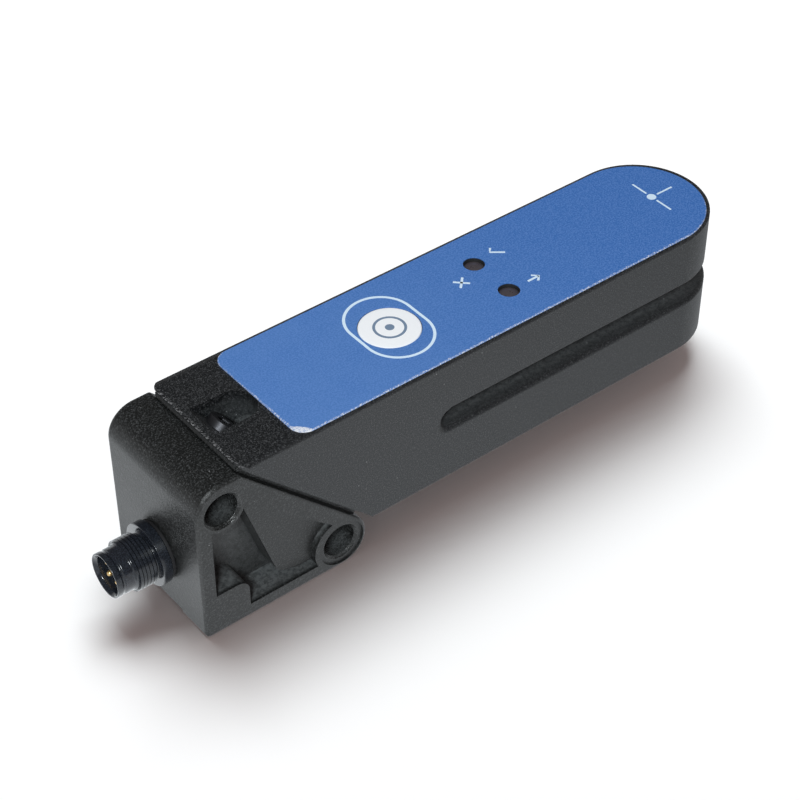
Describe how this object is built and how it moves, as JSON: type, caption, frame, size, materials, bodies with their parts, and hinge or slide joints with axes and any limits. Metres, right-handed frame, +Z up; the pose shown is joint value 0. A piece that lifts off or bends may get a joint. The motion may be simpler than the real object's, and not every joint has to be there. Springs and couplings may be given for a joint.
{
  "type": "fork-type label sensor",
  "caption": "Slotted fork sensor that detects labels on a web: long housing with a blue keypad film, teach key and signal lamps, and a slanted rear head with a round connector.",
  "frame": {"origin": "under the middle of the sensor's box, in the plane of the head's foot, on the middle plane", "axes": "+X towards the tip of the fork, +Y towards the far side, +Z up out of the keypad"},
  "size_m": [0.1104, 0.022, 0.0283],
  "materials": {
    "housing_black": "die-cast, matt black coat",
    "head_black": "die-cast, matt black coat",
    "cover_black": "moulded, matt",
    "film_blue": "printed film, satin",
    "key_white": "satin",
    "switch_black": "moulded",
    "plunger_cream": "moulded",
    "lamp_smoke": "clear moulding, smoked",
    "lamp_chip": "moulded",
    "board_green": "solder mask",
    "chip_black": "moulded",
    "capacitor_metal": "drawn can",
    "optic_red": "polished filter",
    "diode_clear": "clear moulding",
    "ribbon_amber": "polyimide film",
    "screw_steel": "plated",
    "screw_black": "blackened",
    "seal_black": "moulded rubber",
    "plug_black": "turned, gloss black",
    "insert_black": "moulded",
    "pin_gold": "gold-plated",
    "lead_cover": "insulated wire",
    "socket_cream": "moulded"
  },
  "bodies": {
    "sensor": {"fork_housing": "housing_black", "rear_head": "head_black", "top_cover": "cover_black", "bottom_cover": "cover_black", "front_film": "film_blue", "key_switch": "switch_black", "lamp_window_far": "lamp_smoke", "lamp_window_near": "lamp_smoke", "lamp_far": "lamp_chip", "lamp_near": "lamp_chip", "main_board": "board_green", "controller_chip": "chip_black", "output_driver": "chip_black", "filter_capacitor": "capacitor_metal", "receiver_diode": "optic_red", "receiver_window": "optic_red", "emitter_window": "optic_red", "emitter_diode": "diode_clear", "emitter_board": "board_green", "arm_ribbon": "ribbon_amber", "cover_screws": "screw_steel", "head_screw": "screw_black", "seam_ring": "seal_black", "plug_shell": "plug_black", "plug_insert": "insert_black", "contact_pins": "pin_gold", "plug_seal": "seal_black", "lead_wires": "lead_cover", "wire_socket": "socket_cream"},
    "set_key": {"teach_key": "key_white", "switch_plunger": "plunger_cream"}
  },
  "joints": [
    {"name": "key_press", "type": "slide", "parent": "sensor", "child": "set_key", "axis": [0, 0, -1], "range_m": [0, 0.0004], "stiffness_N_per_m": 4000}
  ]
}
